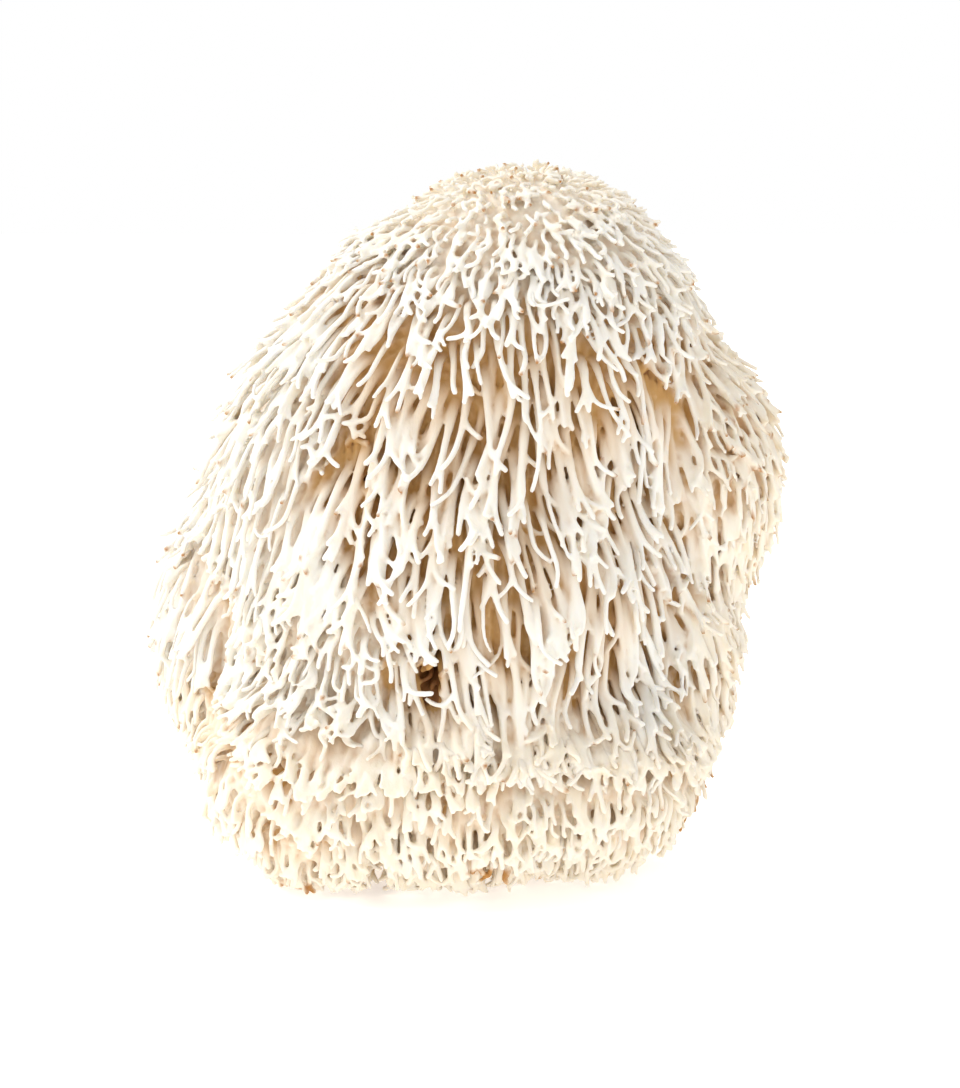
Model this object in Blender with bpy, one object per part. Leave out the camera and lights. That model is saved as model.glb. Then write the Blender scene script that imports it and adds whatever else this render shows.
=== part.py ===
"""Lion's mane mushroom: one fruiting body, cut flat where it grew out of its block.

The outline is a soft union of egg-shaped lobes. The flesh lies a spine's depth inside it, and
locks of spines grow out of the flesh, bend over and hang down as far as the outline: short on
the crown and under the lobes, long on the front and the flanks. Flesh and locks are one solid.
Metres, +Z up, with the origin at the middle of the flat cut and -Y the front.
"""

import math

import bmesh
import bpy
import numpy as np

# Driving dimensions: the lobes are given as shares of these
WIDTH = 0.141
DEPTH = 0.124
HEIGHT = 0.1535

# The flat cut where the mushroom was taken off its block
CUT_WIDTH = 0.046
CUT_DEPTH = 0.038
NECK_FLARE = 1.25  # the neck over the cut widens by this
NECK_HEIGHT = 0.020
NECK_SIDES = 28

# The lobes, each an egg: its middle and its half sizes, as shares of width, depth and height
LOBES = {
    "crown": ((0.085, 0.000, 0.690), (0.300, 0.370, 0.310)),
    "left_shoulder": ((-0.085, 0.010, 0.625), (0.240, 0.350, 0.285)),
    "left_side": ((-0.240, 0.020, 0.490), (0.172, 0.350, 0.280)),
    "belly": ((-0.020, -0.040, 0.400), (0.370, 0.420, 0.330)),
    "back": ((0.000, 0.160, 0.430), (0.330, 0.320, 0.350)),
    "left_flank": ((-0.345, 0.060, 0.335), (0.158, 0.270, 0.205)),
    "right_flank": ((0.335, 0.070, 0.550), (0.165, 0.280, 0.200)),
    "right_hip": ((0.300, 0.030, 0.305), (0.135, 0.260, 0.170)),
    "lower_left": ((-0.190, -0.160, 0.178), (0.225, 0.275, 0.195)),
    "lower_middle": ((0.000, -0.225, 0.170), (0.200, 0.240, 0.165)),
    "lower_right": ((0.185, -0.110, 0.175), (0.182, 0.290, 0.170)),
    "lower_back": ((0.010, 0.210, 0.170), (0.270, 0.240, 0.160)),
}
SOFTNESS = 0.0048  # how gently one lobe runs into the next
MIDDLE = (0.0, 0.0, 0.46 * HEIGHT)  # a ray from here leaves the outline once

# The crown with its short tufts ends between these heights, and so does the low skirt
CROWN_TOP, CROWN_FOOT = 0.95 * HEIGHT, 0.82 * HEIGHT
SKIRT_TOP, SKIRT_FOOT = 0.26 * HEIGHT, 0.14 * HEIGHT

# Depth from the outline to the flesh that the spines grow from
LAYER = 0.0070
LAYER_CROWN = 0.0040
LAYER_SKIRT = 0.0050

# Locks of spines: long ones over the body, and short tufts on the crown and on the skirt
LOCK_SPACING, CROWN_SPACING, SKIRT_SPACING = 0.0098, 0.0062, 0.0076
LOCK_LENGTH, TUFT_LENGTH = 0.026, 0.0085
LOCK_RADIUS, TUFT_RADIUS = 0.0040, 0.0026
TIP_RADIUS = 0.0010
FLATNESS = 1.35  # a lock is wider than it is thick by this
ROOT_DEPTH = 0.003
UNEVEN = 0.25  # by how much one lock's length differs from the next
LOCK_SIDES = 6
LOCK_STEPS = 8

# How a lock's course turns from straight out at its root to straight down at its tip
OUT_AT_ROOT, OUT_AT_TIP = 0.9, 0.1
DOWN_AT_ROOT, DOWN_AT_TIP = 0.3, 1.3
SWAY = 0.18
RISE = 1.5  # a lock lies as high as the outline from this share of its length backwards
HOLD = 0.7  # how firmly it is held between flesh and outline
PROUD = 0.0006  # how far it may stand out of the outline
CLEAR_OF_GROUND = 0.0012

# The skin: the grain in which flesh and locks are fused, and the most faces that are kept
FUSING_GRAIN = 0.0015
MOST_TRIANGLES = 9800

FLESH_SUBDIVISIONS = 6
HALVINGS = 22  # how often a ray's stretch is halved to find where it leaves the flesh
SLOPE_STEP = 0.0004
ROOT_CHOICES = 6000
GOLDEN_TURN = math.pi * (1 + math.sqrt(5))
SEED = 7


def unit(vectors):
    """The same directions, each one long."""
    return vectors / (np.linalg.norm(vectors, axis=-1, keepdims=True) + 1e-12)


def fade(values, low, high):
    """0 below low, 1 above high, and smooth between."""
    share = np.clip((values - low) / (high - low), 0.0, 1.0)
    return share * share * (3.0 - 2.0 * share)


def crown_share(points):
    """1 on the crown, 0 below it."""
    return fade(points[:, 2], CROWN_FOOT, CROWN_TOP)


def skirt_share(points):
    """1 on the skirt of low lobes, 0 above it."""
    return 1.0 - fade(points[:, 2], SKIRT_FOOT, SKIRT_TOP)


def by_region(points, body, crown, skirt):
    """A value at each point that runs from the body's to the crown's and the skirt's."""
    return body + (crown - body) * crown_share(points) + (skirt - body) * skirt_share(points)


def over_outline(points):
    """Roughly how far each point lies outside the outline; inside it is negative."""
    scale = np.array((WIDTH, DEPTH, HEIGHT))
    middles = np.array([middle for middle, _ in LOBES.values()]) * scale
    halves = np.array([half for _, half in LOBES.values()]) * scale
    offsets = points[:, None, :] - middles
    share = np.linalg.norm(offsets / halves, axis=2)
    slope = np.linalg.norm(offsets / halves**2, axis=2) + 1e-9
    away = share * (share - 1.0) / slope
    least = away.min(axis=1)
    return least - SOFTNESS * np.log(np.exp((least[:, None] - away) / SOFTNESS).sum(axis=1))


def layer_depth(points):
    """How deep the spines lie over the flesh."""
    return by_region(points, LAYER, LAYER_CROWN, LAYER_SKIRT)


def over_flesh(points):
    """Roughly how far each point lies outside the flesh; inside it is negative."""
    return over_outline(points) + layer_depth(points)


def outward(points):
    """Unit vectors straight out of the flesh."""
    steps = np.eye(3) * SLOPE_STEP
    slope = np.stack([over_flesh(points + s) - over_flesh(points - s) for s in steps], axis=1)
    return unit(slope)


def flesh_points(directions):
    """Where the ray from the middle along each direction leaves the flesh."""
    inner = np.zeros(len(directions))
    outer = np.full(len(directions), HEIGHT)
    for _ in range(HALVINGS):
        half = 0.5 * (inner + outer)
        inside = over_flesh(MIDDLE + directions * half[:, None]) < 0
        inner = np.where(inside, half, inner)
        outer = np.where(inside, outer, half)
    return MIDDLE + directions * inner[:, None]


def even_directions(count):
    """Directions spread evenly over a ball, along a golden spiral."""
    turn = np.arange(count) + 0.5
    tilt = np.arccos(1 - 2 * turn / count)
    around = GOLDEN_TURN * turn
    flat = np.sin(tilt)
    return np.stack([flat * np.cos(around), flat * np.sin(around), np.cos(tilt)], axis=1)


def lock_roots(chance):
    """Points on the flesh that keep their spacing from each other, with none at the neck."""
    choice = flesh_points(even_directions(ROOT_CHOICES))[chance.permutation(ROOT_CHOICES)]
    from_axis = np.hypot(choice[:, 0] / CUT_WIDTH, choice[:, 1] / CUT_DEPTH)
    at_neck = (from_axis < 0.5 * NECK_FLARE) & (choice[:, 2] < NECK_HEIGHT)
    choice = choice[~at_neck]
    spacing = by_region(choice, LOCK_SPACING, CROWN_SPACING, SKIRT_SPACING)
    kept = []
    for number, place in enumerate(choice):
        if (np.linalg.norm(choice[kept] - place, axis=1) > spacing[number]).all():
            kept.append(number)
    return choice[kept]


def lock_paths(roots, lengths, root_radius, chance):
    """The line of each lock: out of the flesh, over and down, within the outline, off the ground."""
    down = np.array((0.0, 0.0, -1.0))
    place = roots - outward(roots) * ROOT_DEPTH
    sway = unit(chance.normal(size=place.shape)) * SWAY
    path = [place]
    for step in range(1, LOCK_STEPS + 1):
        share = step / LOCK_STEPS
        out = outward(place)
        fall = down - out * np.minimum(out @ down, 0.0)[:, None]
        outwards = OUT_AT_ROOT + (OUT_AT_TIP - OUT_AT_ROOT) * share
        downwards = DOWN_AT_ROOT + (DOWN_AT_TIP - DOWN_AT_ROOT) * share
        course = unit(out * outwards + fall * downwards + sway)
        place = place + course * (lengths / LOCK_STEPS)[:, None]
        radius = root_radius + (TIP_RADIUS - root_radius) * share
        highest = layer_depth(place) + PROUD - radius
        lowest = highest * min(1.0, RISE * share) - PROUD
        height = over_flesh(place)
        lift = HOLD * (np.clip(height, lowest, highest) - height)
        place = place + out * lift[:, None]
        place[:, 2] = np.maximum(place[:, 2], CLEAR_OF_GROUND + radius)
        path.append(place)
    return np.stack(path, axis=1)


def add_lock(mesh, path, out, root_radius):
    """One lock: a flattened tube that tapers along its path, closed at both ends."""
    angles = np.arange(LOCK_SIDES) * 2 * math.pi / LOCK_SIDES
    radii = np.linspace(root_radius, TIP_RADIUS, len(path))
    rings = []
    for place, ahead, radius in zip(path, unit(np.gradient(path, axis=0)), radii):
        across = unit(np.cross(ahead, out))
        up = np.cross(across, ahead)
        wide, thick = np.cos(angles) * radius * FLATNESS, np.sin(angles) * radius
        ring = place + wide[:, None] * across + thick[:, None] * up
        rings.append([mesh.verts.new(point) for point in ring])
    for low, high in zip(rings, rings[1:]):
        for side in range(LOCK_SIDES):
            after = (side + 1) % LOCK_SIDES
            mesh.faces.new((low[side], low[after], high[after], high[side]))
    mesh.faces.new(rings[0])
    mesh.faces.new(rings[-1])


def add_locks(mesh):
    """Every lock: long on the body, and a short tuft on the crown and the skirt."""
    chance = np.random.default_rng(SEED)
    roots = lock_roots(chance)
    lengths = by_region(roots, LOCK_LENGTH, TUFT_LENGTH, TUFT_LENGTH)
    lengths = lengths * (1 + UNEVEN * chance.uniform(-1, 1, len(roots)))
    radii = by_region(roots, LOCK_RADIUS, TUFT_RADIUS, TUFT_RADIUS)
    paths = lock_paths(roots, lengths, radii, chance)
    for path, out, radius in zip(paths, outward(roots), radii):
        add_lock(mesh, path, out, radius)


def add_flesh(mesh):
    """The flesh under the spines: a ball whose points are moved out along their rays."""
    ball = bmesh.ops.create_icosphere(mesh, subdivisions=FLESH_SUBDIVISIONS, radius=1.0)["verts"]
    directions = unit(np.array([vert.co for vert in ball]))
    for vert, place in zip(ball, flesh_points(directions)):
        vert.co = place


def add_neck(mesh):
    """The short neck between the lobes, which runs on below the cut so far that it is cut through."""
    neck = bmesh.ops.create_cone(
        mesh,
        cap_ends=True,
        segments=NECK_SIDES,
        radius1=0.5,
        radius2=0.5 * NECK_FLARE,
        depth=2 * NECK_HEIGHT,
    )["verts"]
    bmesh.ops.scale(mesh, verts=neck, vec=(CUT_WIDTH, CUT_DEPTH, 1.0))
    bmesh.ops.translate(mesh, verts=neck, vec=(0.0, 0.0, 0.5 * NECK_HEIGHT))


def new_object(name, mesh):
    """A new object in the scene from a bmesh."""
    bmesh.ops.recalc_face_normals(mesh, faces=mesh.faces)
    data = bpy.data.meshes.new(name)
    mesh.to_mesh(data)
    mesh.free()
    made = bpy.data.objects.new(name, data)
    bpy.context.scene.collection.objects.link(made)
    return made


def ground_cutter():
    """A block under the ground plane that takes off everything below the cut."""
    mesh = bmesh.new()
    bmesh.ops.create_cube(mesh, size=2 * HEIGHT)
    bmesh.ops.translate(mesh, verts=mesh.verts, vec=(0.0, 0.0, -HEIGHT))
    cutter = new_object("ground_cutter", mesh)
    cutter.hide_render = True
    cutter.display_type = "WIRE"
    return cutter


def flesh_material():
    """Fresh lion's mane: matt, warm white."""
    material = bpy.data.materials.new("lions_mane_flesh")
    material.use_nodes = True
    surface = material.node_tree.nodes["Principled BSDF"]
    surface.inputs["Base Color"].default_value = (0.86, 0.78, 0.66, 1.0)
    surface.inputs["Roughness"].default_value = 0.62
    surface.inputs["Metallic"].default_value = 0.0
    return material


def fuse_and_thin(body):
    """Fuses flesh, neck and locks into one skin, and thins it to the faces that are kept."""
    fuse = body.modifiers.new("fuse", "REMESH")
    fuse.mode = "VOXEL"
    fuse.voxel_size = FUSING_GRAIN
    skin = body.evaluated_get(bpy.context.evaluated_depsgraph_get()).data
    thin = body.modifiers.new("thin", "DECIMATE")
    thin.ratio = MOST_TRIANGLES / (2 * len(skin.polygons))


def build():
    """The fruiting body: flesh, neck and locks in one skin, cut flat at the ground."""
    for old in list(bpy.data.objects):
        bpy.data.objects.remove(old)
    mesh = bmesh.new()
    add_flesh(mesh)
    add_neck(mesh)
    add_locks(mesh)
    body = new_object("fruiting_body", mesh)
    body.data.materials.append(flesh_material())
    fuse_and_thin(body)
    cut = body.modifiers.new("cut", "BOOLEAN")
    cut.operation = "DIFFERENCE"
    cut.object = ground_cutter()


build()
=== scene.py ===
"""Looks of a lion's mane mushroom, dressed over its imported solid.

The solid carries the outline of the fruiting body. Here the same outline is filled with flesh and
with several thousand spines, which are fused into fronds where they leave the flesh and fork into
fingers towards their tips, as the real ones do. The spines are short and curly on the crown, long
on the front, the left and the back, short and pointed on the right, and knobbly in the skirt of
low lobes. Metres, +Z up, -Y the front.
"""

import sys
import logging
import math
from dataclasses import astuple, dataclass, field, fields
from enum import Enum

import bmesh
import bpy
import numpy as np
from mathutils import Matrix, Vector
from numpy.random import Generator
from numpy.typing import NDArray


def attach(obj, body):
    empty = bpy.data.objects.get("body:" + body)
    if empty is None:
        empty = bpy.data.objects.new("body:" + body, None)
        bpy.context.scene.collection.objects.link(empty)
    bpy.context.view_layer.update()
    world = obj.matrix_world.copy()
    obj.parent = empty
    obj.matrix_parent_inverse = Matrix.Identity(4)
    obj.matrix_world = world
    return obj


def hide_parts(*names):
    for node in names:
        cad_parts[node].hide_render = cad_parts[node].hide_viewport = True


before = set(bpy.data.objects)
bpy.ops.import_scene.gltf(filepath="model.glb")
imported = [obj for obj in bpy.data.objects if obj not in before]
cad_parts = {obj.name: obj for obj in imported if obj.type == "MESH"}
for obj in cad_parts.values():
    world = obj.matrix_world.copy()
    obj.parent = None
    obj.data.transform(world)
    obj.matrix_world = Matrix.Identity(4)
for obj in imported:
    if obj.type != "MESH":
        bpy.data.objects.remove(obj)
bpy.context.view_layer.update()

log = logging.getLogger("lions_mane")

MM = 0.001
NODE = "fruiting_body"
BODY = "root"
GOLDEN_TURN = math.pi * (1 + math.sqrt(5))
DOWN = np.array((0.0, 0.0, -1.0))
CROWN_POLE = (14 * MM, 0.0, 146 * MM)  # the crown and its fringe lie round this place

Points = NDArray[np.float64]
Values = NDArray[np.float64]


def unit(vectors: Points) -> Points:
    """The same directions, each one long.

    Args:
        vectors: Any number of vectors, in the last axis.

    Returns:
        The vectors over their lengths.
    """
    return vectors / (np.linalg.norm(vectors, axis=-1, keepdims=True) + 1e-12)


def fade(values: Values, low: float, high: float) -> Values:
    """A smooth step.

    Args:
        values: Where to read it.
        low: It is 0 up to here.
        high: It is 1 from here on.

    Returns:
        The step at each value.
    """
    share = np.clip((values - low) / (high - low), 0.0, 1.0)
    return share * share * (3.0 - 2.0 * share)


def along_slope(vectors: Points, out: Points) -> Points:
    """What is left of vectors when their part straight out of the surface is taken off.

    Args:
        vectors: The vectors.
        out: The surface's outward directions, one for each vector.

    Returns:
        The vectors' parts along the surface.
    """
    return vectors - out * (vectors * out).sum(axis=-1, keepdims=True)


class Zone(Enum):
    """The parts of the mushroom, each with spines of its own kind."""

    CROWN = "crown"
    FRINGE = "fringe"  # round the crown, where spines get longer
    CURTAIN = "curtain"
    LEFT = "left"
    RIGHT = "right"
    ROSETTE = "rosette"  # low on the left, over the skirt
    KNOBS = "knobs"  # the lower edge of each tier of the skirt
    FLUTES = "flutes"  # the hollow under the edge above


@dataclass(frozen=True)
class Lobe:
    """One egg-shaped lobe of the outline, as shares of the outline's width, depth and height."""

    middle: tuple[float, float, float]
    half: tuple[float, float, float]


@dataclass(frozen=True)
class Outline:
    """The mushroom's outline: a soft union of lobes, the same ones that the solid is made of."""

    scale: tuple[float, float, float] = (141 * MM, 124 * MM, 153.5 * MM)
    softness: float = 4.0 * MM
    lobes: tuple[Lobe, ...] = (
        Lobe((0.085, 0.000, 0.690), (0.300, 0.370, 0.310)),
        Lobe((-0.085, 0.010, 0.625), (0.240, 0.350, 0.285)),
        Lobe((-0.240, 0.020, 0.490), (0.172, 0.350, 0.280)),
        Lobe((-0.020, -0.040, 0.400), (0.370, 0.420, 0.330)),
        Lobe((0.000, 0.160, 0.430), (0.330, 0.320, 0.350)),
        Lobe((-0.345, 0.060, 0.335), (0.158, 0.270, 0.205)),
        Lobe((0.335, 0.070, 0.550), (0.165, 0.280, 0.200)),
        Lobe((0.300, 0.030, 0.305), (0.135, 0.260, 0.170)),
        Lobe((-0.190, -0.160, 0.178), (0.225, 0.275, 0.195)),
        Lobe((0.000, -0.225, 0.170), (0.200, 0.240, 0.165)),
        Lobe((0.185, -0.110, 0.175), (0.182, 0.290, 0.170)),
        Lobe((0.010, 0.210, 0.170), (0.270, 0.240, 0.160)),
    )
    proud: float = 1.2 * MM  # that tips stand out of the solid's outline
    middle_share: float = 0.46  # of the height
    slope_step: float = 0.4 * MM
    halvings: int = 20

    @property
    def middle(self) -> Points:
        """The point from which every ray leaves the outline once."""
        return np.array((0.0, 0.0, self.middle_share * self.scale[2]))

    def over(self, points: Points) -> Values:
        """Roughly how far points lie outside the outline.

        Args:
            points: Any points.

        Returns:
            A distance for each point, negative inside.
        """
        scale = np.array(self.scale)
        middles = np.array([lobe.middle for lobe in self.lobes]) * scale
        halves = np.array([lobe.half for lobe in self.lobes]) * scale
        offsets = points[:, None, :] - middles
        share = np.linalg.norm(offsets / halves, axis=2)
        slope = np.linalg.norm(offsets / halves**2, axis=2) + 1e-9
        away = share * (share - 1.0) / slope
        least = away.min(axis=1)
        crowd = np.exp((least[:, None] - away) / self.softness).sum(axis=1)
        return least - self.softness * np.log(crowd) - self.proud

    def outward(self, points: Points) -> Points:
        """Directions straight out of the outline.

        Args:
            points: Any points.

        Returns:
            A unit vector for each point.
        """
        steps = np.eye(3) * self.slope_step
        return unit(np.stack([self.over(points + s) - self.over(points - s) for s in steps], axis=1))

    def inside_points(self, directions: Points, depth: Values) -> Points:
        """Where rays from the middle reach a depth under the outline.

        Args:
            directions: Unit vectors.
            depth: How far under the outline to stop, one value or one for each ray.

        Returns:
            A point on each ray.
        """
        inner = np.zeros(len(directions))
        outer = np.full(len(directions), self.scale[2])
        for _ in range(self.halvings):
            half = 0.5 * (inner + outer)
            inside = self.over(self.middle + directions * half[:, None]) < -depth
            inner = np.where(inside, half, inner)
            outer = np.where(inside, outer, half)
        return self.middle + directions * inner[:, None]


@dataclass(frozen=True)
class SpineStyle:
    """How the spines of one zone grow. Lengths are real ones, in metres."""

    across: float  # between roots, side by side
    along: float  # between roots, one over the other
    layer: float  # from the outline in to the flesh
    length: float  # of a whole spine
    fingers: float  # that a spine parts into, on average
    root: float  # half width of a spine at its root, where it is a flat ribbon
    shaft: float  # radius of a finger half way
    tip: float  # radius at its tip
    gap: float  # between the tips of a spine's fingers
    fork: float  # share of the length at which they part
    narrow: float  # share of the length at which the ribbon is down to its shaft
    low: float  # least share of the layer that a tip rises
    high: float  # greatest share of the layer that a tip rises
    rise: float  # how late it rises: less than 1 is early
    stand: float  # how strongly it grows straight outwards
    droop: float  # how strongly it hangs from its root on
    curl: float  # how much a finger twists about
    hook: float  # how far the tips turn outwards or aside
    cream: float  # from white to cream
    specks: float  # share of tips with a brown speck
    shade: float  # how far its gaps are painted tan, as painted shade


# Each style's shade is painted shade in its gaps: set low on the left, where the key light falls, and
# higher on the curtain and the right, which turn from it.
STYLES: dict[Zone, SpineStyle] = {
    Zone.CROWN: SpineStyle(
        across=1.5 * MM, along=1.75 * MM, layer=3.5 * MM, length=4.6 * MM, fingers=1.0,
        root=0.54 * MM, shaft=0.47 * MM, tip=0.50 * MM, gap=1.4 * MM, fork=0.5, narrow=0.4,
        low=0.4, high=0.92, rise=0.45, stand=0.85, droop=0.35, curl=1.1, hook=0.5 * MM,
        cream=0.6, specks=0.18, shade=0.6,
    ),
    Zone.FRINGE: SpineStyle(
        across=1.6 * MM, along=2.3 * MM, layer=4.8 * MM, length=9.5 * MM, fingers=1.2,
        root=0.72 * MM, shaft=0.57 * MM, tip=0.52 * MM, gap=1.7 * MM, fork=0.55, narrow=0.4,
        low=0.3, high=1.05, rise=0.5, stand=0.3, droop=0.6, curl=1.0, hook=0.9 * MM,
        cream=0.3, specks=0.12, shade=0.85,
    ),
    Zone.CURTAIN: SpineStyle(
        across=2.3 * MM, along=4.8 * MM, layer=7.6 * MM, length=21.0 * MM, fingers=1.6,
        root=1.10 * MM, shaft=0.68 * MM, tip=0.58 * MM, gap=2.1 * MM, fork=0.55, narrow=0.5,
        low=0.1, high=1.06, rise=0.65, stand=0.0, droop=0.0, curl=0.15, hook=1.3 * MM,
        cream=0.1, specks=0.13, shade=1.02,
    ),
    Zone.LEFT: SpineStyle(
        across=2.0 * MM, along=4.9 * MM, layer=6.4 * MM, length=17.0 * MM, fingers=1.4,
        root=0.95 * MM, shaft=0.62 * MM, tip=0.53 * MM, gap=1.9 * MM, fork=0.55, narrow=0.5,
        low=0.12, high=1.18, rise=0.65, stand=0.0, droop=0.0, curl=0.2, hook=1.0 * MM,
        cream=0.12, specks=0.13, shade=0.5,
    ),
    # its cream is partly the flank's own beige and partly painted shade of the side turned from the
    # key light, like its gap shade
    Zone.RIGHT: SpineStyle(
        across=1.8 * MM, along=3.3 * MM, layer=5.6 * MM, length=11.5 * MM, fingers=1.1,
        root=0.90 * MM, shaft=0.60 * MM, tip=0.46 * MM, gap=1.6 * MM, fork=0.55, narrow=0.5,
        low=0.3, high=1.05, rise=0.65, stand=0.3, droop=0.0, curl=0.2, hook=0.6 * MM,
        cream=0.8, specks=0.13, shade=0.85,
    ),
    Zone.ROSETTE: SpineStyle(
        across=1.95 * MM, along=3.2 * MM, layer=6.0 * MM, length=10.0 * MM, fingers=1.6,
        root=0.80 * MM, shaft=0.57 * MM, tip=0.51 * MM, gap=1.8 * MM, fork=0.45, narrow=0.5,
        low=0.25, high=1.08, rise=0.6, stand=0.25, droop=0.0, curl=0.6, hook=0.9 * MM,
        cream=0.35, specks=0.05, shade=0.6,
    ),
    Zone.KNOBS: SpineStyle(
        across=2.1 * MM, along=2.5 * MM, layer=4.6 * MM, length=7.0 * MM, fingers=1.7,
        root=0.78 * MM, shaft=0.52 * MM, tip=0.58 * MM, gap=1.75 * MM, fork=0.4, narrow=0.5,
        low=0.5, high=1.18, rise=0.5, stand=0.5, droop=0.0, curl=0.5, hook=0.6 * MM,
        cream=0.9, specks=0.02, shade=0.6,
    ),
    Zone.FLUTES: SpineStyle(
        across=1.95 * MM, along=3.2 * MM, layer=7.0 * MM, length=9.5 * MM, fingers=1.2,
        root=0.78 * MM, shaft=0.58 * MM, tip=0.53 * MM, gap=1.8 * MM, fork=0.6, narrow=0.6,
        low=0.3, high=0.78, rise=0.6, stand=0.0, droop=0.0, curl=0.15, hook=0.9 * MM,
        cream=0.7, specks=0.01, shade=1.1,
    ),
}


@dataclass(frozen=True)
class Crevice:
    """A crease between lobes on the front, as a line of places across and up."""

    line: tuple[tuple[float, float], ...]
    width: float
    depth: float
    bare: float = 0.6  # no spine is rooted where the share is more than this
    painted_dark: float = 0.25  # how much more painted shade darkens its bottom
    front: tuple[float, float] = (-16 * MM, -4 * MM)  # it fades out between these, going back

    def share(self, points: Points) -> Values:
        """How much points lie in the crevice, from 0 to 1.

        Args:
            points: Points near the surface.

        Returns:
            A share for each point.
        """
        flat = points[:, [0, 2]]
        nearest = np.full(len(points), np.inf)
        for first, last in zip(self.line[:-1], self.line[1:]):
            start, run = np.array(first), np.array(last) - np.array(first)
            along = np.clip(((flat - start) @ run) / (run @ run), 0.0, 1.0)
            nearest = np.minimum(nearest, np.linalg.norm(flat - start - along[:, None] * run, axis=1))
        return np.exp(-((nearest / self.width) ** 2)) * (1.0 - fade(points[:, 1], *self.front))


CREVICES: tuple[Crevice, ...] = (
    # the crease round the lobe on the left, and two holes in it
    Crevice(((-0.059, 0.072), (-0.050, 0.061), (-0.055, 0.040), (-0.046, 0.026), (-0.031, 0.008)),
            1.1 * MM, 4.0 * MM),
    Crevice(((-0.0515, 0.0640), (-0.0500, 0.0600)), 1.4 * MM, 9.0 * MM, painted_dark=0.5),
    Crevice(((-0.0555, 0.0420), (-0.0550, 0.0370)), 1.6 * MM, 7.0 * MM, painted_dark=0.5),
    # gaps under the fringe, left and right
    Crevice(((-0.034, 0.086), (-0.022, 0.099)), 1.5 * MM, 6.0 * MM),
    Crevice(((0.036, 0.112), (0.046, 0.101)), 0.9 * MM, 4.0 * MM),
    # the dark hole in the curtain, and the smaller one beside it, both deep and painted darker with
    # painted shade
    Crevice(((-0.0077, 0.0520), (-0.0075, 0.0465)), 2.2 * MM, 13.0 * MM, bare=0.45, painted_dark=0.9),
    Crevice(((-0.0168, 0.0535), (-0.0160, 0.0490)), 1.3 * MM, 9.0 * MM, bare=0.35, painted_dark=0.8),
    # notches between the low lobes
    Crevice(((0.0035, 0.010), (0.0065, -0.002)), 1.5 * MM, 7.0 * MM),
    Crevice(((-0.0190, 0.009), (-0.0185, -0.002)), 2.2 * MM, 8.0 * MM),
)


@dataclass(frozen=True)
class Stain:
    """A brown or speckled stretch of the surface, from one place to another."""

    start: tuple[float, float, float]
    end: tuple[float, float, float]
    radius: float
    brown: float  # how brown the flesh itself is
    specks: float  # how many times more tips have a speck

    def share(self, points: Points) -> Values:
        """How much points lie in the stain, from 0 to 1.

        Args:
            points: Points near the surface.

        Returns:
            A share for each point.
        """
        start, run = np.array(self.start), np.array(self.end) - np.array(self.start)
        along = np.clip(((points - start) @ run) / (run @ run), 0.0, 1.0)
        away = np.linalg.norm(points - start - along[:, None] * run, axis=1)
        return np.exp(-((away / self.radius) ** 2))


STAINS: tuple[Stain, ...] = (
    Stain((0.053, -0.012, 0.020), (0.042, -0.018, 0.003), 2.6 * MM, 0.9, 2.0),  # right rim
    Stain((-0.044, -0.024, 0.003), (-0.030, -0.042, 0.002), 2.2 * MM, 0.6, 5.0),  # left rim
    Stain((0.002, -0.048, 0.009), (0.008, -0.048, 0.007), 2.4 * MM, 1.0, 1.0),  # between low lobes
    Stain((-0.067, 0.000, 0.050), (-0.065, -0.004, 0.042), 4.5 * MM, 0.3, 9.0),  # left edge
    Stain((-0.052, -0.012, 0.109), (-0.058, -0.008, 0.098), 5.0 * MM, 0.1, 6.0),  # left shoulder
    Stain((0.063, -0.012, 0.103), (0.059, -0.020, 0.090), 6.0 * MM, 0.1, 5.0),  # right flank
    Stain((-0.015, -0.030, 0.145), (0.010, -0.030, 0.150), 9.0 * MM, 0.0, 1.0),  # front of the crown
)


# Each wave has its height, how often it goes round the mushroom, and how fast it climbs.
TIER_WAVES = ((1.0, 5.0, 1.4), (0.7, 11.0, -2.3), (0.5, 23.0, 3.1))
FLUTE_WAVES = ((1.3, 3.0, 1.0), (0.8, -7.0, 2.3))
# The grains of the crown are where waves in these directions meet.
GRAIN_WAYS = ((1.0, 0.3, 0.2), (-0.3, 1.0, 0.4), (0.6, -0.7, 0.5), (0.2, 0.4, 1.0))


@dataclass(frozen=True)
class Whorl:
    """A place that the spines around it sweep away from."""

    pole: tuple[float, float, float]
    reach: float
    strength: float


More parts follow.
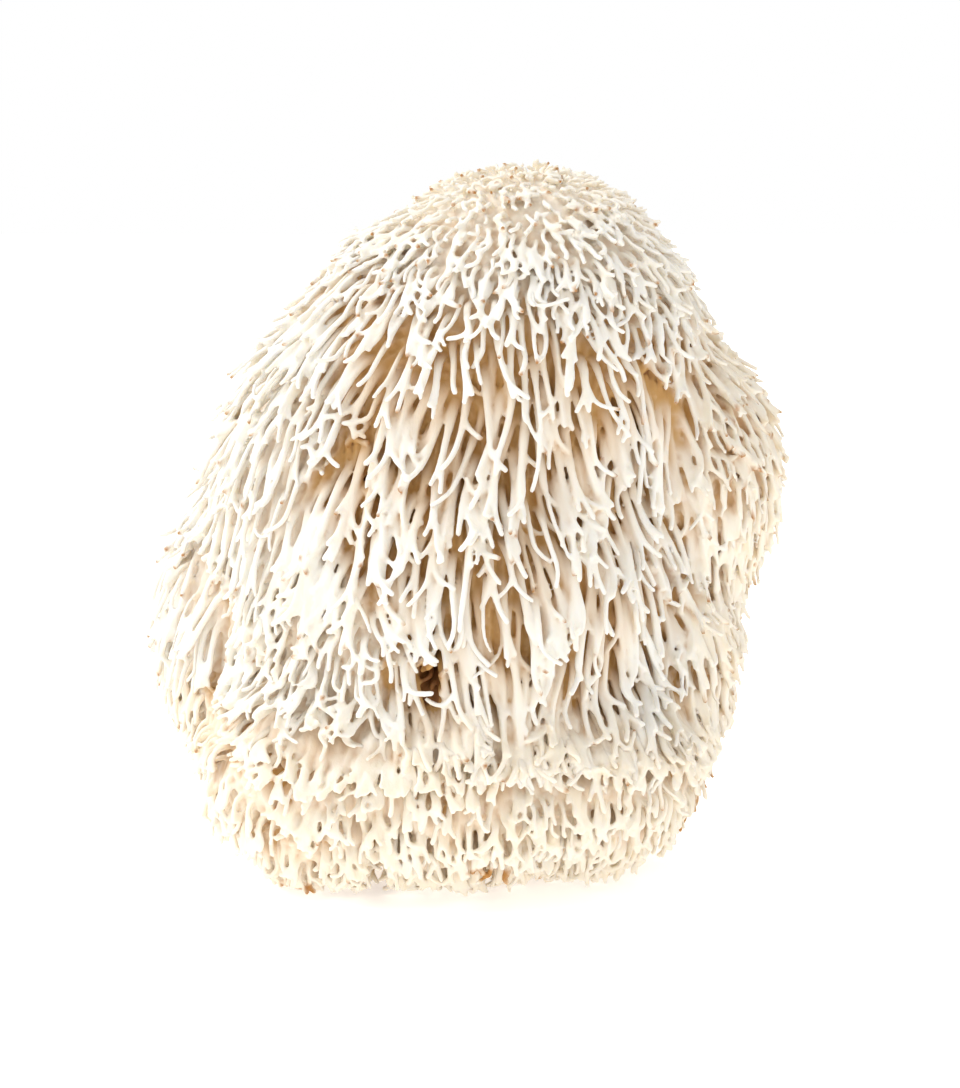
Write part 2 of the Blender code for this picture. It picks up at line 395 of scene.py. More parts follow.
@dataclass(frozen=True)
class Growth:
    """Where zones lie and which way spines run over the mushroom."""

    outline: Outline
    crown_pole: tuple[float, float, float] = CROWN_POLE
    crown_inner: float = 16 * MM
    crown_outer: float = 34 * MM
    fringe_inner: float = 35 * MM
    fringe_outer: float = 52 * MM
    left_from: float = -20 * MM
    left_full: float = -40 * MM
    right_from: float = 42 * MM
    right_full: float = 55 * MM
    skirt_from: float = 44 * MM
    skirt_full: float = 37 * MM
    skirt_wobble: float = 0.8  # share of the wobble of the tiers in its upper edge
    rosette: tuple[float, float, float] = (-31 * MM, -40 * MM, 52 * MM)
    rosette_inner: float = 15 * MM
    rosette_outer: float = 25 * MM
    tier: float = 13 * MM
    tier_edge: float = 1.5 * MM
    tier_wobble: float = 2.6 * MM
    knobs_from: float = 0.2
    knobs_full: float = 0.5
    whorls: tuple[Whorl, ...] = (
        Whorl((13 * MM, 6 * MM, 136 * MM), 78 * MM, 0.8),
        Whorl((-20 * MM, -47 * MM, 60 * MM), 24 * MM, 0.6),
    )
    back_spread: float = 0.18  # how much further apart spines are on the back
    back_from: tuple[float, float] = (5 * MM, 25 * MM)
    drift: float = 0.13  # how far spines stray to the side, stretch by stretch
    drift_size: float = 16 * MM
    parting: tuple[float, float, float] = (13 * MM, 5 * MM, 152 * MM)  # where spines stand apart
    parting_reach: float = 12 * MM
    parting_stand: float = 1.3
    parting_spread: float = 0.3
    flute_count: int = 150
    flute_height: float = 0.55 * MM
    flute_bend: float = 7 * MM
    grain_size: float = 1.9 * MM
    grain_height: float = 0.4 * MM

    def weights(self, points: Points) -> Values:
        """How much of each zone there is at points.

        Args:
            points: Any points near the surface.

        Returns:
            One row a point and one column a zone, in the order of Zone, each row adding up to 1.
        """
        from_pole = np.linalg.norm(points - np.array(self.crown_pole), axis=1)
        crown = 1.0 - fade(from_pole, self.crown_inner, self.crown_outer)
        top = 1.0 - fade(from_pole, self.fringe_inner, self.fringe_outer)
        height = points[:, 2] + self.skirt_wobble * self.tier_wobble * self.wobble(points)
        skirt = (1.0 - fade(height, self.skirt_full, self.skirt_from)) * (1.0 - top)
        rest = (1.0 - top) * (1.0 - skirt)
        left = rest * (1.0 - fade(points[:, 0], self.left_full, self.left_from))
        right = rest * fade(points[:, 0], self.right_from, self.right_full)
        knobs = skirt * fade(self.down_tier(points), self.knobs_from, self.knobs_full)
        from_rosette = np.linalg.norm(points - np.array(self.rosette), axis=1)
        rosette = (rest - right) * (1.0 - fade(from_rosette, self.rosette_inner, self.rosette_outer))
        middle = (rest - left - right - rosette).clip(0.0)
        left = rest - right - rosette - middle
        shares = (crown, top - crown, middle, left, right, rosette, knobs, skirt - knobs)
        return np.stack(shares, axis=1)

    def down_tier(self, points: Points) -> Values:
        """How far down its tier of the skirt each point is, 1 at the tier's lower edge.

        Args:
            points: Points near the surface.

        Returns:
            A share for each point.
        """
        height = points[:, 2] - self.tier_edge + self.tier_wobble * self.wobble(points)
        return 1.0 - (height / self.tier) % 1.0

    def wobble(self, points: Points) -> Values:
        """How unevenly the tiers of the skirt run round, about from -2 to 2.

        Args:
            points: Points near the surface.

        Returns:
            A value for each point.
        """
        turn = np.arctan2(points[:, 0], -points[:, 1])
        rings = points[:, 2] / self.tier
        return sum(high * np.sin(around * turn + climb * rings) for high, around, climb in TIER_WAVES)

    def creased(self, points: Points) -> tuple[Values, Values]:
        """How much deeper crevices are than the flesh around them, and how much a point is in one.

        Args:
            points: Points near the surface.

        Returns:
            A depth and a share for each point.
        """
        depth, share = np.zeros(len(points)), np.zeros(len(points))
        for crevice in CREVICES:
            here = crevice.share(points)
            depth = np.maximum(depth, here * crevice.depth)
            share = np.maximum(share, here)
        return depth, share

    def painted_crevice_shade(self, points: Points) -> Values:
        """How much more painted shade points get because they lie in a crevice.

        Args:
            points: Points near the surface.

        Returns:
            A value for each point, 0 outside the crevices.
        """
        return np.max([crevice.painted_dark * crevice.share(points) for crevice in CREVICES], axis=0)

    def relief(self, points: Points) -> Values:
        """How far the bare flesh bulges between spines: grains on the top, upright flutes below.

        Args:
            points: Points near the surface.

        Returns:
            A height for each point, negative in a dent.
        """
        top = self.weights(points)[:, :2].sum(axis=1)
        turn = np.arctan2(points[:, 0], -points[:, 1])
        bend = sum(
            high * np.sin(climb * points[:, 2] / self.flute_bend + around * turn)
            for high, around, climb in FLUTE_WAVES
        )
        flutes = np.sin(self.flute_count * turn + bend)
        waves = np.cos(points @ unit(np.array(GRAIN_WAYS)).T * 2 * math.pi / self.grain_size)
        grains = waves.sum(axis=1) / math.sqrt(len(GRAIN_WAYS))
        return self.flute_height * (1.0 - top) * flutes + self.grain_height * top * grains

    def styled(self, points: Points) -> dict[str, Values]:
        """Each style value at points, run smoothly from zone to zone.

        Args:
            points: Points near the surface.

        Returns:
            An array for each field of SpineStyle.
        """
        table = np.array([astuple(STYLES[zone]) for zone in Zone])
        values = self.weights(points) @ table
        styled = {item.name: values[:, number] for number, item in enumerate(fields(SpineStyle))}
        styled["layer"] = styled["layer"] + self.creased(points)[0]
        from_parting = np.linalg.norm(points - np.array(self.parting), axis=1)
        parted = np.exp(-((from_parting / self.parting_reach) ** 2))
        styled["stand"] = styled["stand"] + self.parting_stand * parted
        sparser = 1.0 + self.back_spread * fade(points[:, 1], *self.back_from)
        sparser = sparser + self.parting_spread * parted
        for name in ("across", "along"):
            styled[name] = styled[name] * sparser
        return styled

    def flow(self, points: Points, out: Points) -> Points:
        """Which way spines run along the surface.

        Args:
            points: Points near the surface.
            out: The outward direction at each.

        Returns:
            A unit vector for each point.
        """
        course = along_slope(np.broadcast_to(DOWN, points.shape), out)
        for whorl in self.whorls:
            away = points - np.array(whorl.pole)
            distance = np.linalg.norm(away, axis=1, keepdims=True)
            strength = whorl.strength * np.exp(-((distance / whorl.reach) ** 2))
            course = course + strength * along_slope(away / (distance + 1e-9), out)
        course = unit(course)
        # Two waves that cross at a slant, so that no two stretches stray alike.
        x, y, z = (points / self.drift_size).T
        sideways = np.sin(1.3 * x + 0.7 * z + 2.0 * np.sin(0.6 * y))
        sideways = sideways + 0.7 * np.sin(2.9 * x - 1.7 * z + y)
        return unit(course + np.cross(course, out) * (self.drift * sideways)[:, None])


@dataclass(frozen=True)
class Region:
    """A stretch of the surface that makes one piece: a band of heights and a sector."""

    name: str
    top: float
    foot: float
    facing: float
    half_sector: float
    triangles: int
    grain: float
    pole: tuple[float, float, float] = CROWN_POLE

    def inside(self, points: Points) -> Values:
        """How far points are inside the region's edge, along the surface.

        Args:
            points: Points near the surface.

        Returns:
            A distance for each point, negative outside.
        """
        from_pole = np.linalg.norm(points - np.array(self.pole), axis=1)
        within = np.minimum(self.top - points[:, 2], points[:, 2] - self.foot)
        if self.top > self.pole[2]:
            within = CROWN_REACH - from_pole
        else:
            within = np.minimum(within, from_pole - CROWN_REACH)
        if self.half_sector < 180:
            turn = np.degrees(np.arctan2(points[:, 0], -points[:, 1])) - self.facing
            off = np.abs((turn + 180) % 360 - 180)
            girth = np.hypot(points[:, 0], points[:, 1])
            within = np.minimum(within, np.radians(self.half_sector - off) * girth)
        return within


CROWN_REACH = 36 * MM
SKIRT_TOP = 40 * MM
MANE_TOP = 146 * MM - 1e-6  # just under the pole of the crown
OVER_TOP = 200 * MM
UNDER_FOOT = -50 * MM
REGIONS: tuple[Region, ...] = (
    Region("crown_tufts", OVER_TOP, UNDER_FOOT, 0, 180, 136000, grain=0.34 * MM),
    Region("left_front_curtain", MANE_TOP, SKIRT_TOP, 337, 23, 140000, grain=0.36 * MM),
    Region("right_front_curtain", MANE_TOP, SKIRT_TOP, 23, 23, 140000, grain=0.36 * MM),
    Region("right_flank_mane", MANE_TOP, SKIRT_TOP, 90, 44, 98000, grain=0.44 * MM),
    Region("back_mane", MANE_TOP, SKIRT_TOP, 180, 46, 76000, grain=0.50 * MM),
    Region("left_flank_mane", MANE_TOP, SKIRT_TOP, 270, 44, 114000, grain=0.42 * MM),
    Region("left_front_skirt", SKIRT_TOP, UNDER_FOOT, 324, 36, 107000, grain=0.36 * MM),
    Region("right_front_skirt", SKIRT_TOP, UNDER_FOOT, 36, 36, 107000, grain=0.36 * MM),
    Region("back_skirt", SKIRT_TOP, UNDER_FOOT, 180, 108, 66000, grain=0.48 * MM),
)


@dataclass
class Roots:
    """Where spines are rooted and what each is like. One row a spine."""

    places: Points
    out: Points
    flow: Points
    style: dict[str, Values]

    def __len__(self) -> int:
        """How many spines there are."""
        return len(self.places)


@dataclass(frozen=True)
class RootPlanter:
    """Spreads spine roots over the flesh, closer or further apart as their zone asks."""

    growth: Growth
    choices: int = 48000
    foot_reach: tuple[float, float] = (31 * MM, 27 * MM)
    foot_height: float = 16 * MM

    def plant(self, chance: Generator) -> Roots:
        """Chooses the roots.

        Args:
            chance: Where the random draws come from.

        Returns:
            The roots, which keep their spacing.
        """
        turn = np.arange(self.choices) + 0.5
        tilt = np.arccos(1 - 2 * turn / self.choices)
        around = GOLDEN_TURN * turn
        girth = np.sin(tilt)
        ways = np.stack([girth * np.cos(around), girth * np.sin(around), np.cos(tilt)], axis=1)
        ways = ways[chance.permutation(self.choices)]
        outline = self.growth.outline
        layer = self.growth.styled(outline.inside_points(ways, 0.0))["layer"]
        places = outline.inside_points(ways, layer)
        from_foot = np.hypot(places[:, 0] / self.foot_reach[0], places[:, 1] / self.foot_reach[1])
        places = places[(from_foot > 1.0) | (places[:, 2] > self.foot_height)]
        for crevice in CREVICES:
            places = places[crevice.share(places) < crevice.bare]
        out = outline.outward(places)
        flow = self.growth.flow(places, out)
        style = self.growth.styled(places)
        squash = (style["across"] / style["along"]) ** 2
        limit = style["across"] ** 2
        kept_places = np.empty_like(places)
        kept: list[int] = []
        for number, place in enumerate(places):
            offsets = kept_places[: len(kept)] - place
            ahead = (offsets @ flow[number]) ** 2
            apart = (offsets**2).sum(axis=1) - ahead * (1.0 - squash[number])
            if not (apart < limit[number]).any():
                kept_places[len(kept)] = place
                kept.append(number)
        style = {name: values[kept] for name, values in style.items()}
        return Roots(places[kept], out[kept], flow[kept], style)


@dataclass
class Fingers:
    """Fingers as lines of points, with a half width and half depth at each. One row a finger."""

    paths: Points
    wide: Values
    deep: Values
    across: Points
    root: NDArray[np.int64]

    def some(self, chosen: NDArray[np.bool_]) -> "Fingers":
        """Only the chosen fingers."""
        return Fingers(*(part[chosen] for part in self.parts()))

    def parts(self) -> tuple[NDArray, ...]:
        """All the arrays, in order."""
        return (self.paths, self.wide, self.deep, self.across, self.root)

    def with_more(self, others: "Fingers") -> "Fingers":
        """These fingers and others."""
        return Fingers(*(np.concatenate(pair) for pair in zip(self.parts(), others.parts())))


@dataclass(frozen=True)
class SpineGrower:
    """Grows each spine out of the flesh, over and down, and parts it into fingers."""

    growth: Growth
    steps: int = 13
    root_depth: float = 1.2 * MM  # a spine starts this far under the flesh
    uneven: float = 0.25  # how much shorter or longer than its style says
    sway: float = 0.07  # how far each spine leans its own way
    tuft_size: float = 5.0  # spines that grow as one tuft, on average
    together: float = 0.42  # how closely a tuft keeps to its leader
    tuft_sway: float = 0.10  # how far each tuft leans its own way
    twists: tuple[float, float] = (4.5, 5.5)  # sideways, and in and out
    twist_depth: float = 0.6  # of the sideways twist
    phase_shift: float = 0.7  # how unlike its leader a spine twists
    root_stand: float = 0.6  # how much more it stands at its root
    stand_loss: float = 1.2  # how fast that goes, so that it is gone half way
    overhang_pull: float = 1.5  # how much more it hangs from an overhang
    more_high: float = 0.75  # less than 1 lets more tips reach the outline
    hold: float = 0.6  # how firmly a spine keeps to its height
    off_ground: float = 0.8 * MM
    crossed: float = 0.4  # a spine ends where it is this much in a crevice
    least_steps: int = 3  # which every spine keeps
    long_enough: float = 17 * MM  # spine, for a bridge to hang on it
    bridge_count: int = 26
    bridge_width: tuple[float, float] = (3.0 * MM, 6.5 * MM)
    bridge_sag: tuple[float, float] = (1.5 * MM, 4.5 * MM)
    bridge_lift: float = 0.6 * MM
    bridge_radius: float = 0.52 * MM
    bridge_slant: float = 0.3  # how far the other end hangs, as a share of the bow
    shortest: float = 0.70  # finger, as a share of its spine
    spare_fingers: tuple[float, float] = (-0.5, 1.5)  # added to the average, then rounded down
    fork_spread: tuple[float, float] = (0.7, 1.3)
    fork_curve: float = 1.5  # how late a finger that wanders leaves the others
    wander: float = 0.25  # of the gap between fingers
    packed: float = 0.5  # gap between fingers that are still one spine, in shafts
    hook_from: float = 0.72  # share of the length at which a tip starts to turn
    hook_run: float = 0.28  # share over which it turns
    hook_tail: int = 3  # the lower, the more tips turn far aside
    hook_limit: float = 3.0
    hook_out: tuple[float, float] = (0.3, 0.7)  # usual turn outwards, and its spread
    girths: tuple[float, float] = (0.85, 1.15)  # times the thickness of the style
    taper_from: float = 0.4  # share of the length at which the tip's thickness comes in
    ribbon_until: float = 0.2  # of the stretch in which it narrows
    stray_share: float = 0.015  # of fingers that cross over their neighbours
    stray_reach: float = 2.2  # in gaps
    stray_radius: float = 0.75  # of a usual finger's

    def spines(self, roots: Roots, chance: Generator) -> Points:
        """The middle line of each spine.

        Args:
            roots: The roots.
            chance: Where the random draws come from.

        Returns:
            Points along each spine, as spines by steps by 3.
        """
        outline = self.growth.outline
        count = len(roots)
        style = roots.style
        lead = self.leaders(roots, chance)
        drawn = chance.uniform(0, 1, (count, 2))
        drawn = drawn + self.together * (drawn[lead] - drawn)
        length = style["length"] * (1 + self.uneven * (2 * drawn[:, 0] - 1))
        lift = style["low"] + (style["high"] - style["low"]) * drawn[:, 1] ** self.more_high
        swayed = chance.normal(size=(count, 3))
        sway = self.sway * swayed + self.tuft_sway * swayed[lead]
        phase = chance.uniform(0, 2 * math.pi, (count, 2))[lead]
        phase = phase + self.phase_shift * chance.normal(size=(count, 2))
        place = roots.places - roots.out * self.root_depth
        path = [place]
        for step in range(1, self.steps + 1):
            share = step / self.steps
            out = outline.outward(place)
            flow = self.growth.flow(place, out)
            side = np.cross(flow, out)
            leave = self.growth.styled(place)["stand"]
            leave = leave + max(0.0, self.root_stand - self.stand_loss * share)
            hang = np.clip(-out[:, 2], 0.0, 1.0) * share
            twist = style["curl"] * share
            down = self.overhang_pull * hang + style["droop"]
            aside = twist * np.sin(self.twists[0] * share + phase[:, 0])
            proud = self.twist_depth * twist * np.sin(self.twists[1] * share + phase[:, 1])
            course = flow + out * leave[:, None] + DOWN * down[:, None] + sway
            course = course + side * aside[:, None] + out * proud[:, None]
            place = place + unit(course) * (length / self.steps)[:, None]
            layer = self.growth.styled(place)["layer"] - self.growth.creased(place)[0]
            height = outline.over(place) + layer
            wanted = (layer - style["shaft"]) * lift * share ** style["rise"]
            place = place + out * (self.hold * (wanted - height))[:, None]
            place[:, 2] = np.maximum(place[:, 2], self.off_ground + style["shaft"])
            path.append(place)
        return np.stack(path, axis=1)

    def leaders(self, roots: Roots, chance: Generator) -> NDArray[np.int64]:
        """The spine that each spine follows, so that neighbours grow as a tuft.

        Args:
            roots: The roots.
            chance: Where the random draws come from.

        Returns:
            A spine's number for each spine.
        """
        count = len(roots)
        chosen = chance.choice(count, round(count / self.tuft_size), replace=False)
        middles = roots.places[chosen]
        away = (middles**2).sum(axis=1) - 2.0 * roots.places @ middles.T
        return chosen[away.argmin(axis=1)]

    def fingers(self, roots: Roots, chance: Generator) -> Fingers:
        """Parts each spine into its fingers.

        Args:
            roots: The roots.
            chance: Where the random draws come from.

        Returns:
            The fingers of all spines.
        """
        spines = self.spines(roots, chance)
        spare = chance.uniform(*self.spare_fingers, len(roots))
        counts = np.maximum(np.floor(roots.style["fingers"] + spare), 1)
        counts = counts.astype(int)
        root = np.repeat(np.arange(len(roots)), counts)
        first = np.repeat(np.cumsum(counts) - counts, counts)
        from_middle = np.arange(len(root)) - first - (counts[root] - 1) / 2
        style = {name: values[root] for name, values in roots.style.items()}
        shares = np.linspace(0, 1, self.steps + 1)[None, :]
        clear = self.clear_of_crevices(spines)[root]
        reach = (np.minimum(1.0, clear) * chance.uniform(self.shortest, 1.0, len(root)))[:, None]
        paths = self.cut_short(spines[root], shares * reach)
        ahead = unit(np.gradient(paths, axis=1))
        out = self.growth.outline.outward(paths.reshape(-1, 3)).reshape(paths.shape)
        across = unit(np.cross(ahead, out))
        fork = (style["fork"] * chance.uniform(*self.fork_spread, len(root)))[:, None]
        parted = np.clip((shares - fork) / (1.0 - fork), 0.0, 1.0)
        packed = self.packed * style["shaft"][:, None]
        spacing = packed + (style["gap"][:, None] - packed) * parted
        stray = chance.uniform(0, 1, len(root)) < self.stray_share
        wander = chance.normal(0, self.wander, len(root))
        wander = wander + stray * chance.normal(0, self.stray_reach, len(root))
        wander = (wander * style["gap"])[:, None] * parted**self.fork_curve
        aside = from_middle[:, None] * spacing + wander
        bent = np.clip((shares - self.hook_from) / self.hook_run, 0, 1) ** 2
        turned = chance.standard_t(self.hook_tail, len(root))
        turned = style["hook"] * np.clip(turned, -self.hook_limit, self.hook_limit)
        proud = style["hook"] * chance.normal(*self.hook_out, len(root))
        paths = paths + across * (aside + turned[:, None] * bent)[:, :, None]
        paths = paths + out * (proud[:, None] * bent)[:, :, None]
        paths[:, :, 2] = np.maximum(paths[:, :, 2], self.off_ground + style["tip"][:, None])
        girth = chance.uniform(*self.girths, len(root)) * np.where(stray, self.stray_radius, 1)
        shaft, tip = girth * style["shaft"], girth * style["tip"]
        deep = shaft[:, None] + (tip - shaft)[:, None] * fade(shares, self.taper_from, 1.0)
        ribbon = 1.0 - fade(shares / style["narrow"][:, None], self.ribbon_until, 1.0)
        wide = deep + (style["root"] - shaft)[:, None] * ribbon * np.where(stray, 0.0, 1.0)[:, None]
        return Fingers(paths, wide, deep, across, root)

    def clear_of_crevices(self, spines: Points) -> Values:
        """What share of each spine can be kept before it would cross a crevice.

        Args:
            spines: Points along each spine.

        Returns:
            A share for each spine, which is more than 1 where no crevice is met.
        """
        share = self.growth.creased(spines.reshape(-1, 3))[1]
        inside = share.reshape(spines.shape[:2]) > self.crossed
        inside[:, : self.least_steps] = False
        first = np.where(inside.any(axis=1), inside.argmax(axis=1), 2 * self.steps)
        return first / self.steps

    def bridges(self, roots: Roots, fingers: Fingers, chance: Generator) -> Fingers:
        """Thin strands that hang in a bow from one long spine to its neighbour.

        Args:
            roots: The roots.
            fingers: The fingers that they hang on.
            chance: Where the random draws come from.

        Returns:
            The bridges.
        """
        outline = self.growth.outline
        long_ones = np.flatnonzero(roots.style["length"][fingers.root] > self.long_enough)
        held = chance.choice(long_ones, self.bridge_count, replace=False)
        at = chance.integers(self.steps // 2, self.steps - 2, len(held))
        start = fingers.paths[held, at]
        out = outline.outward(start)
        flow = self.growth.flow(start, out)
        way = chance.choice((-1.0, 1.0), len(held))
        wide = way * chance.uniform(*self.bridge_width, len(held))
        sag = chance.uniform(*self.bridge_sag, len(held))
        shares = np.linspace(0, 1, self.steps + 1)[None, :, None]
        side = np.cross(flow, out)[:, None, :] * wide[:, None, None]
        bow = flow[:, None, :] * sag[:, None, None]
        lifted = out[:, None, :] * self.bridge_lift
        swell = 4.0 * shares * (1.0 - shares)  # 0 at both ends and 1 half way
        hung = bow * (swell + self.bridge_slant * shares)
        paths = start[:, None, :] + side * shares + hung + lifted * swell
        flat = paths.reshape(-1, 3)
        drop = outline.over(flat) - outline.over(start).repeat(self.steps + 1)
        flat = flat - outline.outward(flat) * (self.hold * np.maximum(drop, 0.0))[:, None]
        paths = flat.reshape(paths.shape)
        thin = np.full(paths.shape[:2], self.bridge_radius)
        ahead = unit(np.gradient(paths, axis=1))
        across = unit(np.cross(ahead, out[:, None, :]))
        return Fingers(paths, thin, thin, across, fingers.root[held])

    @staticmethod
    def cut_short(paths: Points, shares: Values) -> Points:
        """Paths read again at other shares of their length.

        Args:
            paths: Points along each path.
            shares: For each path, the shares at which to read it.

        Returns:
            The points at those shares.
        """
        last = paths.shape[1] - 1
        at = np.clip(shares * last, 0, last - 1e-6)
        low = at.astype(int)
        rest = (at - low)[:, :, None]
        rows = np.arange(len(paths))[:, None]
        return paths[rows, low] * (1 - rest) + paths[rows, low + 1] * rest


def mesh_from_arrays(name: str, points: Points, quads: NDArray, triangles: NDArray) -> bpy.types.Mesh:
    """A mesh from arrays of points and faces.

    Args:
        name: The mesh's name.
        points: Its points.
        quads: Rows of four point numbers.
        triangles: Rows of three point numbers.

    Returns:
        The mesh.
    """
    mesh = bpy.data.meshes.new(name)
    corners = np.concatenate([quads.ravel(), triangles.ravel()]).astype(np.int32)
    sizes = np.concatenate([np.full(len(quads), 4), np.full(len(triangles), 3)])
    starts = np.concatenate([[0], np.cumsum(sizes)[:-1]]).astype(np.int32)
    mesh.vertices.add(len(points))
    mesh.vertices.foreach_set("co", points.astype(np.float32).ravel())
    mesh.loops.add(len(corners))
    mesh.loops.foreach_set("vertex_index", corners)
    mesh.polygons.add(len(sizes))
    mesh.polygons.foreach_set("loop_start", starts)
    mesh.update(calc_edges=True)
    return mesh


@dataclass(frozen=True)
class Skinner:
    """Turns fingers and the flesh under them into one closed skin, smoothed and thinned."""

    sides: int = 8
    smoothing: float = 0.5  # of each round

    def tubes(self, name: str, fingers: Fingers) -> bpy.types.Mesh:
        """A closed tube round each finger.

        Args:
            name: The mesh's name.
            fingers: The fingers.

        Returns:
            A mesh of separate tubes.
        """
        count, rings, _ = fingers.paths.shape
        ahead = unit(np.gradient(fingers.paths, axis=1))
        across = unit(fingers.across - ahead * (fingers.across * ahead).sum(axis=2, keepdims=True))
        up = np.cross(across, ahead)
        angles = np.arange(self.sides) * 2 * math.pi / self.sides
        aside = (fingers.wide[:, :, None] * np.cos(angles))[:, :, :, None] * across[:, :, None, :]
        above = (fingers.deep[:, :, None] * np.sin(angles))[:, :, :, None] * up[:, :, None, :]
        circles = fingers.paths[:, :, None, :] + aside + above
        ends = fingers.paths[:, -1] + ahead[:, -1] * fingers.deep[:, -1:]
        points = np.concatenate([circles.reshape(-1, 3), fingers.paths[:, 0], ends])
        ring_of = np.arange(count * rings * self.sides).reshape(count, rings, self.sides)
        after = np.roll(ring_of, -1, axis=2)
        quads = np.stack([ring_of[:, :-1], after[:, :-1], after[:, 1:], ring_of[:, 1:]], axis=-1)
        hubs = count * rings * self.sides + np.arange(2 * count).reshape(2, count, 1)
        root_hubs, tip_hubs = np.broadcast_to(hubs, (2, count, self.sides))
        roots = np.stack([ring_of[:, 0], root_hubs, after[:, 0]], axis=-1)
        tips = np.stack([ring_of[:, -1], after[:, -1], tip_hubs], axis=-1)
        caps = np.concatenate([roots.reshape(-1, 3), tips.reshape(-1, 3)])
        return mesh_from_arrays(name, points, quads.reshape(-1, 4), caps)

    def skin(
        self, rough: bpy.types.Mesh, grain: float, rounds: int, triangles: int
    ) -> bpy.types.Mesh:
        """Fuses a mesh in a grain, smooths it and thins it.

        Args:
            rough: A mesh of closed shells, which is used up.
            grain: The size of the fusing grain.
            rounds: How often it is smoothed.
            triangles: The most triangles that are kept.

        Returns:
            The closed skin.
        """
        carrier = bpy.data.objects.new("skin_carrier", rough)
        bpy.context.scene.collection.objects.link(carrier)
        fuse = carrier.modifiers.new("fuse", "REMESH")
        fuse.mode = "VOXEL"
        fuse.voxel_size = grain
        smooth = carrier.modifiers.new("smooth", "SMOOTH")
        smooth.iterations = rounds
        smooth.factor = self.smoothing
        fused = self.applied(carrier)
        carrier.modifiers.clear()
        thin = carrier.modifiers.new("thin", "DECIMATE")
        thin.ratio = min(1.0, triangles / (2 * len(fused.polygons)))
        log.info("fused into %d faces", len(fused.polygons))
        carrier.data = fused
        skin = self.applied(carrier)
        bpy.data.objects.remove(carrier)
        bpy.data.meshes.remove(rough)
        bpy.data.meshes.remove(fused)
        skin.polygons.foreach_set("use_smooth", np.ones(len(skin.polygons), bool))
        return skin

    @staticmethod
    def applied(carrier: bpy.types.Object) -> bpy.types.Mesh:
        """A new mesh of what an object's modifiers make."""
        graph = bpy.context.evaluated_depsgraph_get()
        return bpy.data.meshes.new_from_object(carrier.evaluated_get(graph), depsgraph=graph)


def points_of(mesh: bpy.types.Mesh) -> Points:
    """A mesh's points as an array.

    Args:
        mesh: The mesh.

    Returns:
        One row a point.
    """
    flat = np.empty(len(mesh.vertices) * 3, np.float32)
    mesh.vertices.foreach_get("co", flat)
    return flat.reshape(-1, 3).astype(np.float64)


def triangles_of(mesh: bpy.types.Mesh) -> int:
    """How many triangles a mesh has once its faces are split."""
    return len(mesh.loops) - 2 * len(mesh.polygons)


def paint(mesh: bpy.types.Mesh, name: str, values: Values) -> None:
    """Stores a value at each of a mesh's points.

    Args:
        mesh: The mesh.
        name: The name that the material reads it by.
        values: One value a point.
    """
    layer = mesh.attributes.new(name, "FLOAT", "POINT")
    layer.data.foreach_set("value", values.astype(np.float32))


def linear(code: str) -> tuple[float, float, float, float]:
    """An sRGB hex colour as the linear one that shaders take.

    Args:
        code: Six hex digits.

    Returns:
        Red, green, blue and 1.
    """
    parts = [int(code[start : start + 2], 16) / 255 for start in (0, 2, 4)]
    flat = [part / 12.92 if part <= 0.04045 else ((part + 0.055) / 1.055) ** 2.4 for part in parts]
    return (flat[0], flat[1], flat[2], 1.0)


def add_node(
    tree: bpy.types.NodeTree,
    kind: str,
    settings: dict[str, object] | None = None,
    inputs: dict[str | int, object] | None = None,
) -> bpy.types.Node:
    """Adds a shader node with its settings and links.

    Args:
        tree: The material's node tree.
        kind: The node's type.
        settings: Values of the node itself.
        inputs: For each input a value, or an output to link to it.

    Returns:
        The node.
    """
    node = tree.nodes.new(kind)
    for name, value in (settings or {}).items():
        setattr(node, name, value)
    for name, value in (inputs or {}).items():
        if isinstance(value, bpy.types.NodeSocket):
            tree.links.new(value, node.inputs[name])
        else:
            node.inputs[name].default_value = value
    return node


